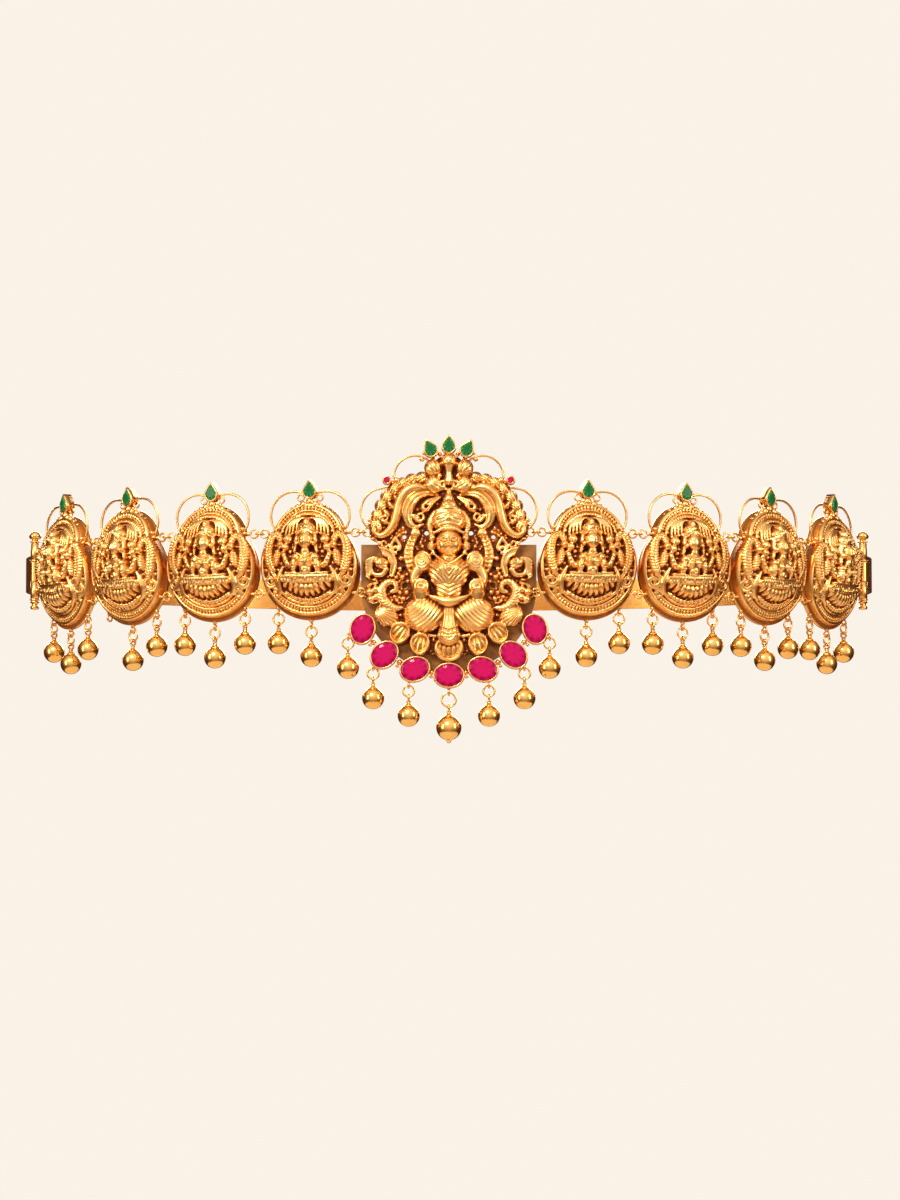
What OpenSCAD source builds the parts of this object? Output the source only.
// Oddiyanam, a temple-jewellery waist belt: a seated figure on the centre panel, four plaques on each
// side, ring links, hanging gold balls, a barrel hinge at each end and a plain band round the back.
// The belt is worn fastened. The origin is the middle of the waist, the front faces -Y and Z is up.

/* [Belt line] */
// Half width of the centre panel, out to the loops that hold its links
panel_reach = 28; // [27.5:0.1:31]
// Turn of the first plaque away from the front
turn_1 = 12; // [6:0.5:17]
// Turn of the second plaque
turn_2 = 23.5; // [18:0.5:31]
// Turn of the third plaque
turn_3 = 40; // [32:0.5:46]
// Turn of the fourth plaque
turn_4 = 53; // [47:0.5:60]
// Turn of the back band where it leaves the hinge
turn_band = 68; // [62:0.5:75]
// Bend of the band at the side of the waist
side_r = 70; // [62:1:78]
// Bend of the band across the back
back_r = 184; // [178:1:200]

/* [Side plaques] */
// Radius of a plaque's lower round
plaque_r = 17; // [16:0.1:18]
// Radius of its upper round
arch_r = 12.5; // [11.5:0.1:13.5]
// Height of the upper round's centre above the lower one's
arch_rise = 9.3; // [8.5:0.1:10]
// How far the lower round's centre lies below the middle of the belt
plaque_drop = 3.3; // [2.5:0.1:4]
// Depth of a plaque's wall, back to front
wall_h = 5.6; // [5:0.1:6.5]
// Thickness of the wall
wall_t = 1.6; // [1.2:0.1:2]
// Sink of the face below the wall's front edge
face_sink = 1; // [0.6:0.1:1.5]
// Thickness of the face
face_t = 1.4; // [1:0.1:1.8]
// Rise of the domed face
dome_rise = 3.2; // [2.4:0.1:4]
// Drop of the flared lip under the wall
lip_drop = 1.2; // [0.6:0.1:1.8]

/* [Centre panel] */
// Radius of the panel's lower round
panel_r = 26; // [25:0.1:27]
// How far that round's centre lies below the middle of the belt
panel_drop = 10; // [9:0.1:11]
// Thickness of the pierced ground
ground_t = 1.8; // [1.4:0.1:2.4]
// Height of the ground's front above the line of the links
ground_front = 1.2; // [0.8:0.1:1.6]
// Thickness of the back plate
back_plate_t = 1; // [0.6:0.1:1.4]
// Half width of the back plate
back_plate_half = 30; // [28.5:0.1:30.4]
// Gap between the back plate and the ground
back_plate_gap = 0.15; // [0.1:0.05:0.4]

/* [Stones] */
// Length of an oval ruby
ruby_l = 10; // [9:0.1:10.4]
// Width of an oval ruby
ruby_w = 8; // [7:0.1:8.4]
// Radius of a pear emerald's round end
pear_r = 2.1; // [1.9:0.05:2.3]
// Distance from the middle of that end to the pear's point
pear_point = 3.8; // [3.4:0.1:4.2]
// Radius of a small round ruby
small_ruby_r = 1.1; // [0.9:0.05:1.3]
// Wall of a stone's setting
bezel_t = 0.35; // [0.3:0.05:0.5]
// Gap between a stone and its setting
stone_gap = 0.1; // [0.08:0.01:0.15]

/* [Links] */
// Radius of the wire of loops and links
wire_r = 0.35; // [0.3:0.01:0.4]
// Radius of the hole in a link's loop
loop_hole_r = 1.05; // [1:0.05:1.2]
// Gap between two facing loops
loop_gap = 0.4; // [0.3:0.05:0.8]
// Play between a link and the loop it passes through
link_play = 0.15; // [0.1:0.01:0.2]
// Height of the upper links
upper_link = 8.2; // [7.5:0.1:9]
// Depth of the lower links below the middle of the belt
lower_link = 12.5; // [11.5:0.1:13]

/* [Drops] */
// Radius of the gold balls
ball_r = 3.75; // [3.2:0.05:4]
// Radius of the middle ball of the centre panel
middle_ball_r = 4.3; // [4:0.05:4.5]
// Middle radius of a jump ring
jump_r = 1.9; // [1.7:0.05:2.2]
// Middle radius of the jump ring of the middle ball
middle_jump_r = 2.4; // [2.2:0.05:2.8]
// Radius of the hole in a drop's eye and in the lug it hangs from
eye_hole_r = 0.7; // [0.65:0.05:0.9]
// Play between a jump ring and an eye
eye_play = 0.1; // [0.08:0.01:0.15]
// Height of the cap of a ball
cap_h = 1.4; // [1:0.1:2]
// Spacing of the drops under a plaque
drop_pitch = 11.6; // [10:0.1:12.5]

/* [Hinges and band] */
// Distance from a plaque's middle to its hinge pin
hinge_reach = 22; // [21.5:0.1:24]
// Height of one knuckle
knuckle_h = 6.9; // [6:0.1:7.5]
// Radius of a plaque's knuckles
knuckle_r = 1.6; // [1.5:0.05:2]
// Radius of the band's knuckle
band_knuckle_r = 1.75; // [1.6:0.05:2.2]
// Radius of the hinge pin
pin_r = 0.8; // [0.6:0.05:1]
// Play round the pin and between the knuckles
hinge_play = 0.12; // [0.1:0.01:0.2]
// Radius of the finial on the pin's upper end
finial_r = 2.2; // [1.8:0.1:2.6]
// Height of the band
band_h = 12; // [8:0.5:14]
// Thickness of the band
band_t = 1.3; // [1:0.1:1.6]
// Step where the tongue and the back stretch leave the side bend, on each face
band_step = 0.1; // [0.08:0.01:0.2]
// Length of the clasp's sleeve
clasp_l = 16; // [12:1:24]
// Wall of the clasp's sleeve
clasp_t = 1; // [0.8:0.1:1.5]
// Play between the clasp and the band
clasp_play = 0.2; // [0.15:0.05:0.3]

/* [Hidden] */
SIDES = ["left", "right"];
$fn = 40;

ANTIQUE_GOLD = "#b8832f";
POLISHED_GOLD = "#d9a441";
PLATE_GOLD = "#a06d37";
RUBY_PINK = "#d1136b";
EMERALD_GREEN = "#15804a";

// The relief is laid out in parts: 17 to a plaque's radius, and 26 to the panel's.
part = plaque_r / 17;
panel_part = panel_r / 26;

loop_r = loop_hole_r + wire_r;
loop_outer_r = loop_r + wire_r;
loop_pitch = 2 * loop_outer_r + loop_gap;
link_r = loop_pitch / 2 - loop_hole_r + wire_r + link_play;
plaque_reach = plaque_r - 0.95 * part;

eye_r = eye_hole_r + wire_r;
hang = eye_hole_r - wire_r - eye_play;
lug_ball_r = 0.85;
lug_ball_up = eye_r + 0.75 * lug_ball_r;
lug_drop = lug_ball_up + 0.3 * lug_ball_r;
cap_sink = 0.5;

wall_front = wall_h / 2;
face_edge = wall_front - face_sink;
face_half = plaque_r - wall_t;
plaque_stem = sqrt(pow(plaque_r - wall_t / 2, 2) - pow(lower_link - plaque_drop, 2));
dome_r = (face_half * face_half + dome_rise * dome_rise) / (2 * dome_rise);
dome_top = face_edge + dome_rise;

bezel_h = 3.2;
seat_up = 1.2;
crown_up = 0.5;
crest_height = 22.4 * part;
grain_r = 0.95 * panel_part;
grain_h = 1.4 * panel_part;
grain_low = -0.45 * panel_part;

function along(turn) = [cos(turn), sin(turn)];
TURNS = [turn_1, turn_2, turn_3, turn_4];

// Plan of the belt's right half: the middle of plaque k, counted from the centre panel, seen from above
function plaque_at(k) = k == 1
  ? [panel_reach, 0] + loop_pitch * along(turn_1 / 2) + plaque_reach * along(turn_1)
  : plaque_at(k - 1) + plaque_reach * along(TURNS[k - 2])
    + loop_pitch * along((TURNS[k - 2] + TURNS[k - 1]) / 2) + plaque_reach * along(TURNS[k - 1]);

// The link between plaque k and the piece before it
function link_at(k) = plaque_at(k) - plaque_reach * along(TURNS[k - 1])
  - loop_pitch / 2 * along(link_turn(k));
function link_turn(k) = k == 1 ? turn_1 / 2 : (TURNS[k - 2] + TURNS[k - 1]) / 2;

pin_at = plaque_at(4) + hinge_reach * along(turn_4);

// The band runs from the pin round a side bend to the back bend, whose middle is on the belt's axis.
side_centre = pin_at + side_r * [-sin(turn_band), cos(turn_band)];
back_half_angle = asin(side_centre[0] / (back_r - side_r));
back_centre_y = side_centre[1] - (back_r - side_r) * cos(back_half_angle);
waist_depth = back_centre_y + back_r;
back_section = [band_t, band_h] - 2 * [band_step, band_step];
band_lap = 0.5;
waist_front = -waist_depth / 2;

// How far up the face lies at a place on a plaque
function face_w(x, y) = sqrt(dome_r * dome_r - x * x - y * y) - dome_r + dome_top;

function plaque_bottom(x) = -plaque_drop - lip_drop - sqrt(plaque_r * plaque_r - x * x);
function lug_at(slot) =
  [slot * drop_pitch, plaque_bottom(slot * drop_pitch) - lug_drop, wall_t / 2 - wall_front];

// Rubies of the lower arc from the middle outwards: across, up and turn of the long side
RUBIES = [
  [0, -41, 0],
  [11.6, -38.9, -17],
  [22, -34, -43],
  [29.4, -25.2, -74]
];
function ruby_row(k) = RUBIES[abs(k - 4)];
function ruby_side(k) = k < 4 ? -1 : 1;
function ruby_at(k) = panel_part * [ruby_side(k) * ruby_row(k)[0], ruby_row(k)[1]];
// A drop's lug stands out from the setting, away from the middle of the panel's lower round.
function ruby_out(k) = let (d = ruby_at(k) - [0, -panel_drop]) d / norm(d);
function ruby_lug(k) = ruby_at(k) + (ruby_w / 2 + stone_gap + bezel_t + eye_r + 0.4 * wire_r) * ruby_out(k);
function jump_of(k) = k == 4 ? middle_jump_r : jump_r;

// Crest emeralds of the panel: across, up and lean
CREST_EMERALDS = [[-6.1, 36.1, 28], [0, 37.3, 0], [6.1, 36.1, -28]];
small_ruby_at = panel_part * [21.2, 25.8];

// Which drops each plaque still has, by slot: -1, 0 and 1 from left to right
function slots_left(k) = k == 1 ? [-1, 0] : k == 3 ? [0, 1] : [-1, 0, 1];
function slots_right(k) = k == 1 ? [0, 1] : [-1, 0, 1];
// The lugs: the plaque beside the centre panel has none on that side
function lugs_left(k) = k == 1 ? [-1, 0] : [-1, 0, 1];

// Places a piece drawn flat, front towards +Z, on the centre panel's line
module on_panel() translate([0, waist_front, 0]) rotate([90, 0, 0]) children();

// Places such a piece on plaque k of a side
module on_plaque(side, k) {
  s = side == "left" ? -1 : 1;
  at = plaque_at(k);
  translate([s * at[0], waist_front + at[1], 0]) rotate([0, 0, s * TURNS[k - 1]]) rotate([90, 0, 0])
    children();
}

module both() {
  children();
  mirror([1, 0, 0]) children();
}

module blob(at, r) translate(at) sphere(r);

module taper(from, to, r1, r2) {
  d = to - from;
  translate(from) rotate([0, acos(d[2] / norm(d)), atan2(d[1], d[0])])
    cylinder(h = norm(d), r1 = r1, r2 = r2);
}

module rod(from, to, r) taper(from, to, r, r);

// A bent wire in the plane of the face
module bend(at, bend_r, r, from, to)
  translate(at) rotate([0, 0, from]) rotate_extrude(angle = to - from) translate([bend_r, 0]) circle(r);

module ring_facing(at, r) bend(at, r, wire_r, 0, 360);
module ring_upright(at, r) translate(at) rotate([0, 90, 0]) ring_facing([0, 0, 0], r);
module ring_level(at, r) translate(at) rotate([90, 0, 0]) ring_facing([0, 0, 0], r);

// Oval of four arcs, length l and width w, grown by g all round
module oval(l, w, g) {
  a = l / 2;
  b = w / 2;
  end_r = 0.85 * b;
  c = a - end_r;
  k = (c * c - (b - end_r) * (b - end_r)) / (2 * (b - end_r));
  flank_r = b + k;
  meet = flank_r * c / (flank_r - end_r);
  for (s = [-1, 1]) translate([s * c, 0]) circle(end_r + g);
  intersection() {
    translate([0, -k]) circle(flank_r + g, $fn = 80);
    translate([0, k]) circle(flank_r + g, $fn = 80);
    square([2 * meet, 2 * w], center = true);
  }
}

// Pear with its round end at the origin and its point upwards
module pear(r, point) {
  lean = asin(r / point);
  circle(r);
  polygon([[-r * cos(lean), r * sin(lean)], [r * cos(lean), r * sin(lean)], [0, point]]);
}

// Cut stone: base, girdle and table, with the outline's points given
module gem(outline, girdle_up, crown) {
  n = len(outline);
  rings = [[0.8, 0], [1, 0.4], [1, girdle_up], [0.66, girdle_up + crown]];
  points = [for (ring = rings, p = outline) [p[0] * ring[0], p[1] * ring[0], ring[1]]];
  sides = [for (j = [0:len(rings) - 2], i = [0:n - 1])
    [j * n + i, (j + 1) * n + i, (j + 1) * n + (i + 1) % n, j * n + (i + 1) % n]];
  polyhedron(points, concat(
    [[for (i = [0:n - 1]) i]],
    sides,
    [[for (i = [n - 1:-1:0]) (len(rings) - 1) * n + i]]
  ));
}

function oval_points(l, w, n) = [for (i = [0:n - 1]) [l / 2 * cos(360 * i / n), w / 2 * sin(360 * i / n)]];
function pear_points(r, point, n) = let (lean = asin(r / point)) concat(
  [[0, point]],
  [for (i = [0:n - 2]) let (a = 180 - lean + (180 + 2 * lean) * i / (n - 2)) [r * cos(a), r * sin(a)]]
);

module ruby() color(RUBY_PINK)
  translate([0, 0, seat_up + stone_gap])
    gem(oval_points(ruby_l, ruby_w, 14), bezel_h - seat_up - stone_gap, crown_up);

module emerald() color(EMERALD_GREEN)
  translate([0, 0, seat_up + stone_gap])
    gem(pear_points(pear_r, pear_point, 13), bezel_h - seat_up - stone_gap, crown_up);

module small_ruby() color(RUBY_PINK)
  translate([0, 0, seat_up + stone_gap])
    gem(oval_points(2 * small_ruby_r, 2 * small_ruby_r, 10), bezel_h - seat_up - stone_gap, crown_up);

module ruby_setting() difference() {
  linear_extrude(bezel_h) oval(ruby_l, ruby_w, stone_gap + bezel_t);
  translate([0, 0, seat_up]) linear_extrude(bezel_h) oval(ruby_l, ruby_w, stone_gap);
}

module emerald_setting() {
  gap_r = pear_r + stone_gap;
  wall_r = gap_r + bezel_t;
  difference() {
    linear_extrude(bezel_h) pear(wall_r, pear_point * wall_r / pear_r);
    translate([0, 0, seat_up]) linear_extrude(bezel_h) pear(gap_r, pear_point * gap_r / pear_r);
  }
}

module small_ruby_setting() difference() {
  cylinder(h = bezel_h, r = small_ruby_r + stone_gap + bezel_t);
  translate([0, 0, seat_up]) cylinder(h = bezel_h, r = small_ruby_r + stone_gap);
}

// A lug under a rim: a grain of gold with an eye below it, the eye's middle at the origin
module lug() {
  ring_upright([0, 0, 0], eye_r);
  blob([0, lug_ball_up, 0], lug_ball_r);
}

// Distance from a lug's eye to the eye of the drop below it
function eye_below(jump) = 2 * hang + 2 * jump;

module jump_ring(jump) ring_facing([0, -hang - jump, 0], jump);

module gold_drop(r, jump) {
  eye = -eye_below(jump);
  cap_base = eye - eye_r - wire_r - cap_h;
  ring_upright([0, eye, 0], eye_r);
  taper([0, cap_base, 0], [0, eye - eye_r, 0], 1.3 * wire_r * 3, 1.6 * wire_r);
  rod([0, cap_base - cap_sink, 0], [0, cap_base + cap_sink / 2, 0], 4 * wire_r);
  blob([0, cap_base - r + cap_sink / 2, 0], r);
}

module middle_drop() {
  gold_drop(middle_ball_r, middle_jump_r);
  tip = -eye_below(middle_jump_r) - eye_r - wire_r - cap_h + cap_sink / 2 - 2 * middle_ball_r;
  blob([0, tip - wire_r, 0], 2 * wire_r);
}

// Outline of a plaque, grown by g all round
module plaque_outline(g) {
  translate([0, -plaque_drop]) circle(plaque_r + g, $fn = 96);
  translate([0, arch_rise - plaque_drop]) circle(arch_r + g, $fn = 80);
}

module up_from(w, h) translate([0, 0, w]) linear_extrude(h) children();

// Open-backed tray: a wall, a domed face and a flared lip
module tray() {
  up_from(-wall_front, wall_h) difference() {
    plaque_outline(0);
    plaque_outline(-wall_t);
  }
  up_from(-wall_front, wall_t) difference() {
    translate([0, -plaque_drop - lip_drop]) circle(plaque_r, $fn = 96);
    plaque_outline(-wall_t / 2);
    translate([-plaque_r, -plaque_drop]) square([2 * plaque_r, 2 * plaque_r]);
  }
  difference() {
    union() {
      up_from(face_edge - face_t, face_t) plaque_outline(-wall_t / 2);
      intersection() {
        blob([0, 0, dome_top - dome_r], dome_r, $fn = 160);
        up_from(face_edge - face_t, dome_rise + face_t) plaque_outline(-wall_t);
      }
    }
    intersection() {
      blob([0, 0, dome_top - dome_r], dome_r - face_t, $fn = 160);
      up_from(-wall_h, wall_h + dome_rise + face_t) plaque_outline(-wall_t);
    }
  }
}

// Row of blocks along an arc about a centre
module dentils(at, r_in, r_out, from, to, step, block)
  translate(at) for (a = [from:step:to]) rotate(a) translate([r_in, -block / 2]) square([r_out - r_in, block]);

// Relief of a plaque. Rows are across, up the belt, up from the face and radius, in parts.
PLAQUE_MIDDLE_BLOBS = [
  [0, 5.4, 2.9, 2.5],
  [0, 4.2, 2.9, 2],
  [0, 8.3, 1.9, 2.4],
  [0, 11.2, 1.1, 1.2],
  [0, -1.4, 1.3, 3.1],
  [0, -4.9, 1.2, 2],
  [0, 17.4, -0.4, 1.3]
];
PLAQUE_PAIRED_BLOBS = [
  [1.8, -2.2, 3, 1.4],
  [3.9, -0.5, 1.6, 1.4],
  [6.4, 4.9, 0.7, 1.4],
  [4.3, -3.2, 2.4, 1.3],
  [2.7, 16.8, -0.3, 1.2],
  [5.7, 15.7, -0.3, 1],
  [2.5, 14.5, 0.1, 1],
  [16.4, -2.6, 0.3, 1.1]
];
// Rows are the two ends, each across, up the belt and up from the face, and the radius.
PLAQUE_PAIRED_RODS = [
  [[4.2, 0, 1.2], [6.6, 3.4, 0.8], 0.9],
  [[4.2, -0.8, 1.4], [5.8, -4.8, 1.6], 0.95],
  [[0, -7.3, 1.6], [7.4, -7.3, 1.6], 1.3],
  [[11.2, 2, 0.6], [10.6, -1.8, 0.6], 1.1]
];
// Rows are the bend's middle, its radius, the wire's radius, where it starts and ends, and its lift.
PLAQUE_PAIRED_BENDS = [
  [[3.6, 0.6], 10.6, 1.4, -24, 24, 0.6],
  [[11.8, 4.9], 2.1, 1.1, 0, 170, 0.6],
  [[14.1, -6.5], 2.9, 0.75, 130, 400, 0.4],
  [[12.5, -7.3], 4, 0.7, 140, 215, 0.3],
  [[6.3, -10.6], 3.3, 0.7, -70, 20, 0.3],
  [[8.9, -13.6], 1.2, 0.45, 0, 360, 0.3],
  [[12.1, -11.8], 1.4, 0.5, 0, 360, 0.2]
];
halo_ribs = 4;
petals = 8;

function lift(p) = [p[0] * part, p[1] * part, face_w(p[0] * part, p[1] * part) + p[2] * part];

module plaque_relief() {
  for (b = PLAQUE_MIDDLE_BLOBS) blob(lift(b), b[3] * part);
  both() for (b = PLAQUE_PAIRED_BLOBS) blob(lift(b), b[3] * part);
  both() for (r = PLAQUE_PAIRED_RODS) rod(lift(r[0]), lift(r[1]), r[2] * part);
  both() for (b = PLAQUE_PAIRED_BENDS) {
    outer = b[0] + b[1] * along((b[3] + b[4]) / 2);
    bend(lift([b[0][0], b[0][1], b[5]]) * [[1, 0, 0], [0, 1, 0], [0, 0, 0]]
      + [0, 0, lift([outer[0], outer[1], b[5]])[2]], b[1] * part, b[2] * part, b[3], b[4]);
  }
  for (k = [0:halo_ribs - 1]) {
    rib_r = 4.5 + 1.5 * k;
    bend([0, 5.2 * part, lift([rib_r, 5.2, 0.9])[2]], rib_r * part, 0.6 * part, 0, 180);
  }
  for (k = [0:petals - 1]) {
    spread = k - (petals - 1) / 2;
    taper(lift([1.2 * spread, -13.6, 0.5]), lift([1.75 * spread, -8.6, 0.9]), 0.75 * part, 1.1 * part);
  }
  up_from(face_edge - face_t / 2, face_sink + face_t) {
    dentils([0, -plaque_drop], plaque_r - 3.1 * part, plaque_r - wall_t / 2, 222, 318, 8, 1.2 * part);
    dentils([0, arch_rise - plaque_drop], arch_r - 2.3 * part, arch_r - wall_t / 2, 20, 160, 14, 1.2 * part);
  }
}

// Wire loops, curls and the setting over a plaque
module plaque_crest() {
  translate([0, crest_height, -wall_t]) emerald_setting();
  blob([0, 18.9 * part, 0], 1.15 * part);
  both() {
    bend([5.6 * part, 14.2 * part, 0], 8.3 * part, wire_r * 1.2, -42, 110);
    bend([3.3 * part, 20.4 * part, 0], 1.1 * part, wire_r, 0, 360);
    rod([2.6 * part, 16.8 * part, 0], [3.1 * part, 19.4 * part, 0], 0.6 * part);
  }
}

// Loops for the links, each on a short stem that starts within the edge it is soldered to.
// The upper ones face the viewer, and the lower ones lie level.
module link_loops(reach, upper_edge, lower_edge) both() {
  ring_facing([reach, upper_link, 0], loop_r);
  rod([upper_edge, upper_link, 0], [reach - loop_r, upper_link, 0], 1.6 * wire_r);
  ring_level([reach, -lower_link, 0], loop_r);
  rod([lower_edge, -lower_link, 0], [reach - loop_r, -lower_link, 0], 1.6 * wire_r);
}

module hinge_arms() difference() {
  union() {
    for (s = [-1, 1]) {
      translate([hinge_reach, s * (knuckle_h + hinge_play), 0]) rotate([90, 0, 0])
        cylinder(h = knuckle_h, r = knuckle_r, center = true);
    }
    rod([arch_r - wall_t / 2, knuckle_h, 0], [hinge_reach, knuckle_h, 0], 2.6 * wire_r);
    rod([plaque_r - wall_t, -knuckle_h, 0], [hinge_reach, -knuckle_h, 0], 2.6 * wire_r);
  }
  translate([hinge_reach, 0, 0]) rotate([90, 0, 0])
    cylinder(h = 4 * knuckle_h, r = pin_r + hinge_play, center = true);
}

module plaque(side, k) color(ANTIQUE_GOLD) on_plaque(side, k) {
  tray();
  plaque_relief();
  plaque_crest();
  for (slot = side == "left" ? lugs_left(k) : -lugs_left(k))
    translate(lug_at(slot)) lug();
  if (k < 4) link_loops(plaque_reach, arch_r - wall_t / 2, plaque_stem);
  if (k == 4) {
    intersection() {
      link_loops(plaque_reach, arch_r - wall_t / 2, plaque_stem);
      translate([side == "left" ? plaque_r : -plaque_r, 0, 0]) cube(2 * plaque_r, center = true);
    }
    mirror([side == "left" ? 1 : 0, 0, 0]) hinge_arms();
  }
}

module plaque_emerald(side, k) on_plaque(side, k) translate([0, crest_height, -wall_t]) emerald();

module plaque_drops(side, k) color(POLISHED_GOLD) on_plaque(side, k)
  for (slot = side == "left" ? slots_left(k) : slots_right(k)) translate(lug_at(slot)) {
    jump_ring(jump_r);
    gold_drop(ball_r, jump_r);
  }

module links(side, k) color(POLISHED_GOLD) {
  s = side == "left" ? -1 : 1;
  at = link_at(k);
  translate([s * at[0], waist_front + at[1], 0]) rotate([0, 0, s * link_turn(k)]) rotate([90, 0, 0]) {
    ring_level([0, upper_link, 0], link_r);
    ring_facing([0, -lower_link, 0], link_r);
  }
}

// Piercings of the panel's ground: across, up and radius, in parts
PIERCINGS = [
  [7.6, 7.7, 0.9],
  [15.2, 6.4, 0.8],
  [18.2, -6, 1.3],
  [14.2, -12.4, 1.7],
  [5.9, -11.8, 1],
  [19, -21.4, 1.2],
  [12.8, -9, 1.1],
  [21.3, -7.6, 0.9],
  [5.2, -28, 1],
  [13, -28.2, 1.1],
  [16.8, -17.4, 1.1]
];

module panel_ground() up_from(ground_front - ground_t, ground_t) difference() {
  union() {
    translate([0, -panel_drop]) circle(panel_r, $fn = 120);
    for (s = [-1, 1]) translate(panel_part * [s * 7.8, 9.6]) circle(18.4 * panel_part, $fn = 96);
    translate(panel_part * [0, 28.5]) circle(6 * panel_part);
  }
  for (s = [-1, 1], p = PIERCINGS) translate(panel_part * [s * p[0], p[1]]) circle(p[2] * panel_part);
}

// Relief of the panel. Rows are across, up the belt, up from the ground and radius, in parts.
PANEL_MIDDLE_BLOBS = [
  [0, 19.3, 2.6, 1.4],
  [0, 12.1, 2.4, 4.7],
  [0, 5.6, 4.6, 3.5],
  [0, 3, 4.7, 2.9],
  [0, 4.6, 1, 4.4],
  [0, -5.6, 1, 6.3],
  [0, -11.4, 1, 4.3],
  [0, 32, 1.6, 2.4]
];
PANEL_PAIRED_BLOBS = [
  [5.4, 30.2, 1.6, 2.6],
  [5, 24.9, 1.8, 2.9],
  [2.2, 23.2, 0.9, 1.3],
  [4.6, 6.1, 2.6, 1.1],
  [4.6, 2.4, 2.2, 1.2],
  [2.4, -5.8, 5.6, 2],
  [9.2, -2.2, 1.6, 2.6],
  [9.4, -11, 3.8, 2.4],
  [9, -20.4, 1.2, 6],
  [26.4, -4.1, 0.3, 1.6],
  [24.6, -8.1, 0.6, 1.7],
  [26.6, -10.2, 0.2, 1.3],
  [23.4, -14.8, 0.6, 2.4],
  [25.8, -17.4, 0.2, 1.5],
  [27.8, -18.7, 0, 1.4]
];
PANEL_MIDDLE_RODS = [
  [[0, 30.5, 1.6], [0, 24.4, 2.4], 1.5],
  [[0, 14.5, 2.2], [0, 19.3, 2.2], 0.9],
  [[-3.2, 16.1, 3.2], [3.2, 16.1, 3.2], 1.2],
  [[-4, -15.3, 4.4], [4, -15.3, 4.4], 1.1],
  [[0, -34, -1.1], [0, -36.9, -1.1], 0.9]
];
PANEL_PAIRED_RODS = [
  [[7.4, -3.5, 2], [8.9, -10, 3.2], 1.6],
  [[3, 20.2, 0.6], [7, 17, 0.6], 0.8],
  [[17.6, 17.4, 1], [19.2, 9, 1], 1.1],
  [[18.4, 3, 0.4], [18.4, -1, 0.4], 0.9],
  [[20.2, -15.6, 0.4], [20.8, -19.4, 0.4], 1.6],
  [[9.8, -33, -1.1], [10.6, -34.9, -1.1], 0.9],
  [[17, -30, -1.1], [19.1, -31.2, -1.1], 0.9]
];
PANEL_PAIRED_BENDS = [
  [[11.5, 16.2], 6.5, 1.35, 0, 118, 1],
  [[22.8, 9.1], 3.6, 1.1, 180, 335, 0.8],
  [[10.4, 15.1], 5.1, 1.15, -110, 105, 1],
  [[10.9, 13.1], 1.1, 0.5, 0, 360, 0.4],
  [[7.5, 15.7], 1.3, 0.6, 0, 360, 0.5],
  [[5.2, 0], 9, 1.3, -50, 52, 0.8],
  [[23.3, -2.9], 2.8, 1.2, 0, 360, 0.8],
  [[19.6, -12], 2, 1.1, 0, 360, 0.6],
  [[18.4, 4], 1.2, 0.6, 0, 360, 0.5]
];
// Lotus petals under the figure: across, up, radius and height
PANEL_PETALS = [
  [0, -31.2, 4.8, 2.6],
  [9.5, -30.4, 3.5, 2.2],
  [16.2, -27.6, 3.3, 1.8],
  [20.6, -21.6, 3.2, 1.4]
];
arch_leaves = 8;

function panel_lift(p) = panel_part * [p[0], p[1], p[2]] + [0, 0, ground_front];

module panel_relief() {
  for (b = PANEL_MIDDLE_BLOBS) blob(panel_lift(b), b[3] * panel_part);
  for (r = PANEL_MIDDLE_RODS) rod(panel_lift(r[0]), panel_lift(r[1]), r[2] * panel_part);
  taper(panel_lift([0, -17, 3.4]), panel_lift([0, -27, 1.6]), 1.8 * panel_part, 3 * panel_part);
  both() {
    for (b = PANEL_PAIRED_BLOBS) blob(panel_lift(b), b[3] * panel_part);
    for (r = PANEL_PAIRED_RODS) rod(panel_lift(r[0]), panel_lift(r[1]), r[2] * panel_part);
    for (b = PANEL_PAIRED_BENDS)
      bend(panel_lift([b[0][0], b[0][1], b[5]]), b[1] * panel_part, b[2] * panel_part, b[3], b[4]);
    for (k = [0:arch_leaves - 1]) {
      leaf = [7.8, 9.6] + 17.2 * along(2 + k * 83 / (arch_leaves - 1));
      blob(panel_lift([leaf[0], leaf[1], 0.4]), 1.9 * panel_part);
    }
    for (p = PANEL_PETALS) translate(panel_lift([p[0], p[1], 0]) - [0, 0, ground_t])
      cylinder(h = ground_t + p[3] * panel_part, r1 = p[2] * panel_part, r2 = 0.7 * p[2] * panel_part);
  }
}

module panel_crest() {
  for (e = CREST_EMERALDS) translate(panel_part * [e[0], e[1], 0]) rotate(e[2]) emerald_setting();
  both() {
    rod(panel_lift([4.9, 31.4, -1.1]), panel_lift([5.7, 34.4, -1.1]), 0.95 * panel_part);
    bend(panel_lift([11.6, 27.2, -0.4]), 7.2 * panel_part, wire_r * 1.2, -20, 136);
    bend(panel_lift([22.3, 15.4, -0.4]), 7.8 * panel_part, wire_r * 1.2, -50, 106);
    translate(concat(small_ruby_at, 0)) small_ruby_setting();
    rod(panel_lift([16.6, 24, -1]), panel_lift([20.2, 25.5, -1]), 1.15 * panel_part);
  }
  rod(panel_lift([0, 32.6, -1.1]), panel_lift([0, 35.3, -1.1]), 0.95 * panel_part);
}

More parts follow.
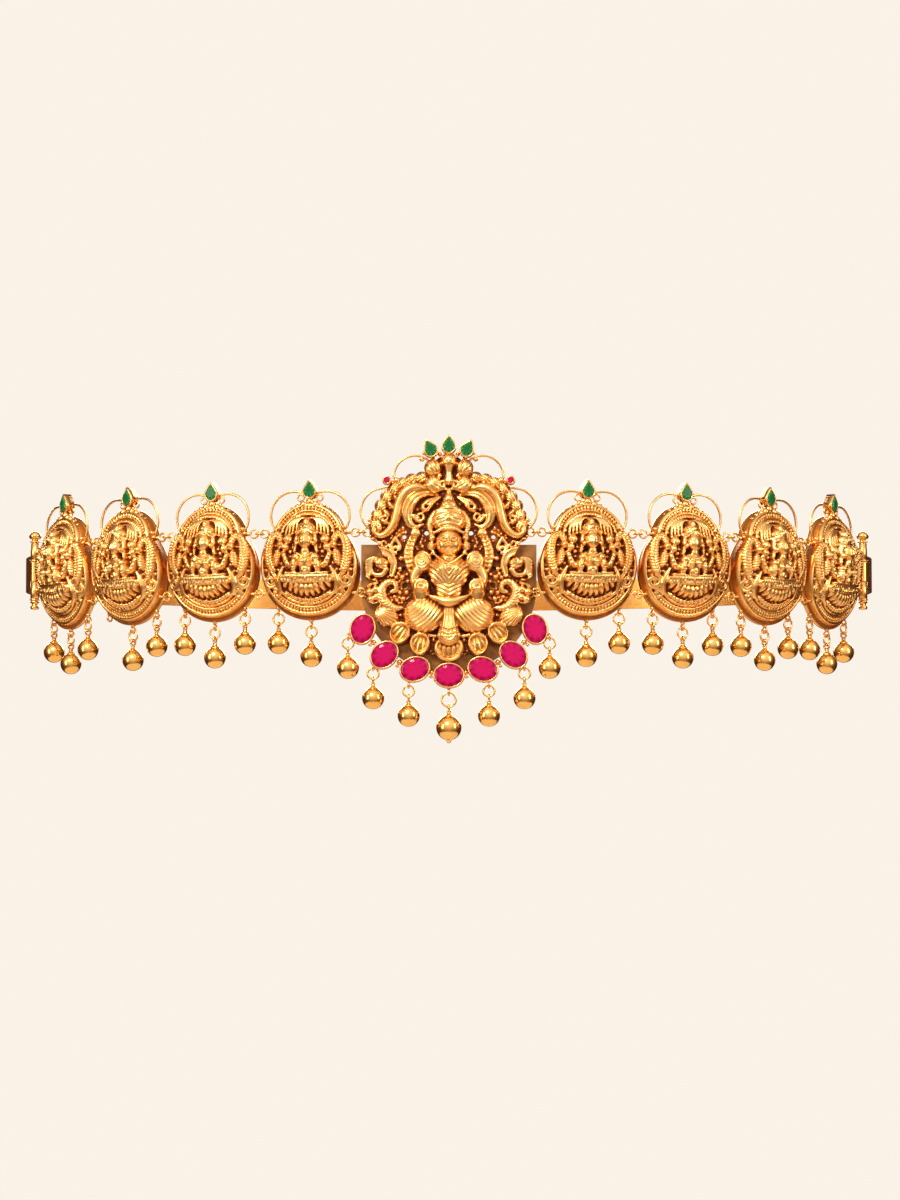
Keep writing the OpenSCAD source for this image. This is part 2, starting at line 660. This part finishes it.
// Rubies of the lower arc: their settings, the grains between them and a lug under each
module ruby_arc() {
  stem = ruby_w / 2 + stone_gap + bezel_t / 2;
  for (k = [1:7]) {
    translate(concat(ruby_at(k), 0)) rotate(-ruby_side(k) * ruby_row(k)[2]) ruby_setting();
    translate(concat(ruby_lug(k), seat_up)) ring_upright([0, 0, 0], eye_r);
    rod(concat(ruby_at(k) + stem * ruby_out(k), seat_up - wire_r),
      concat(ruby_lug(k) + [0, eye_r], seat_up), 1.3 * wire_r);
  }
  for (k = [1:6]) translate(concat((ruby_at(k) + ruby_at(k + 1)) / 2, grain_low))
    cylinder(h = grain_h, r = grain_r);
}

module centre_panel() color(ANTIQUE_GOLD) on_panel() {
  panel_ground();
  panel_relief();
  panel_crest();
  ruby_arc();
  link_loops(panel_reach, panel_r - ground_t, panel_r - ground_t);
}

module back_plate() color(PLATE_GOLD) on_panel()
  up_from(ground_front - ground_t - back_plate_gap - back_plate_t, back_plate_t) {
    intersection() {
      translate([0, -panel_drop]) circle(panel_r + 4 * panel_part, $fn = 120);
      translate([-2 * panel_r, -3 * panel_r]) square([4 * panel_r, 3 * panel_r + 3.9 * panel_part]);
    }
    translate([-back_plate_half, -panel_drop]) square([2 * back_plate_half, panel_drop + 3.9 * panel_part]);
  }

module panel_ruby(k) on_panel() translate(concat(ruby_at(k), 0)) rotate(-ruby_side(k) * ruby_row(k)[2]) ruby();

module crest_emerald(k) on_panel()
  translate(panel_part * [CREST_EMERALDS[k - 1][0], CREST_EMERALDS[k - 1][1], 0])
    rotate(CREST_EMERALDS[k - 1][2]) emerald();

module panel_small_ruby(side) on_panel()
  translate([(side == "left" ? -1 : 1) * small_ruby_at[0], small_ruby_at[1], 0]) small_ruby();

module centre_drop(k) color(POLISHED_GOLD) on_panel() translate(concat(ruby_lug(k), seat_up))
  if (k == 4) middle_drop();
  else gold_drop(ball_r, jump_r);

module centre_jump_rings() color(POLISHED_GOLD) on_panel()
  for (k = [1:7]) translate(concat(ruby_lug(k), seat_up)) jump_ring(jump_of(k));

// Works in plan on one side of the belt
module on_side(side) mirror([side == "left" ? 1 : 0, 0, 0]) translate([0, waist_front, 0]) children();

module hinge_pin(side) color(POLISHED_GOLD) on_side(side) translate(concat(pin_at, 0)) {
  reach = 1.5 * knuckle_h + 2 * hinge_play;
  translate([0, 0, -reach]) cylinder(h = 2 * reach, r = pin_r);
  translate([0, 0, reach]) cylinder(h = finial_r, r1 = knuckle_r, r2 = pin_r);
  translate([0, 0, reach + 0.8 * finial_r]) sphere(finial_r);
  translate([0, 0, -reach - finial_r]) cylinder(h = finial_r, r1 = pin_r, r2 = knuckle_r);
  translate([0, 0, -reach - finial_r]) sphere(0.8 * finial_r);
}

// A stretch of band on a bend about a centre, with a plain rectangle for its section
module band_arc(centre, bend_r, from, to, section)
  translate(concat(centre, 0)) rotate([0, 0, from]) rotate_extrude(angle = to - from, $fn = 180)
    translate([bend_r, 0]) square(section, center = true);

module band(side) color(POLISHED_GOLD) on_side(side) {
  tongue = 2.4 * band_knuckle_r;
  start = turn_band - 90;
  shoulder = start + tongue / side_r * 180 / PI;
  side_end = 90 - back_half_angle;
  half_gap = hinge_play / back_r * 180 / PI;
  tongue_section = [band_t, knuckle_h - hinge_play] - 2 * [band_step, band_step];
  difference() {
    union() {
      translate(concat(pin_at, 0)) cylinder(h = knuckle_h - hinge_play, r = band_knuckle_r, center = true);
      band_arc(side_centre, side_r, start, shoulder + band_lap, tongue_section);
    }
    translate(concat(pin_at, 0)) cylinder(h = 2 * knuckle_h, r = pin_r + hinge_play, center = true);
  }
  band_arc(side_centre, side_r, shoulder, side_end, [band_t, band_h]);
  band_arc([0, back_centre_y], back_r, side_end - band_lap, 90 - half_gap, back_section);
}

module clasp() color(POLISHED_GOLD) translate([0, waist_front + back_centre_y, 0]) {
  half = clasp_l / 2 / back_r * 180 / PI;
  inner = back_section + 2 * [clasp_play, clasp_play];
  outer = inner + 2 * [clasp_t, clasp_t];
  rotate([0, 0, 90 - half]) rotate_extrude(angle = 2 * half, $fn = 180) translate([back_r, 0]) difference() {
    square(outer, center = true);
    square(inner, center = true);
  }
}

centre_panel();
back_plate();
centre_jump_rings();
clasp();
for (k = [1:7]) {
  panel_ruby(k);
  centre_drop(k);
}
for (k = [1:3]) crest_emerald(k);
for (side = SIDES) {
  panel_small_ruby(side);
  hinge_pin(side);
  band(side);
}
for (side = SIDES, k = [1:4]) {
  plaque(side, k);
  plaque_emerald(side, k);
  links(side, k);
  plaque_drops(side, k);
}
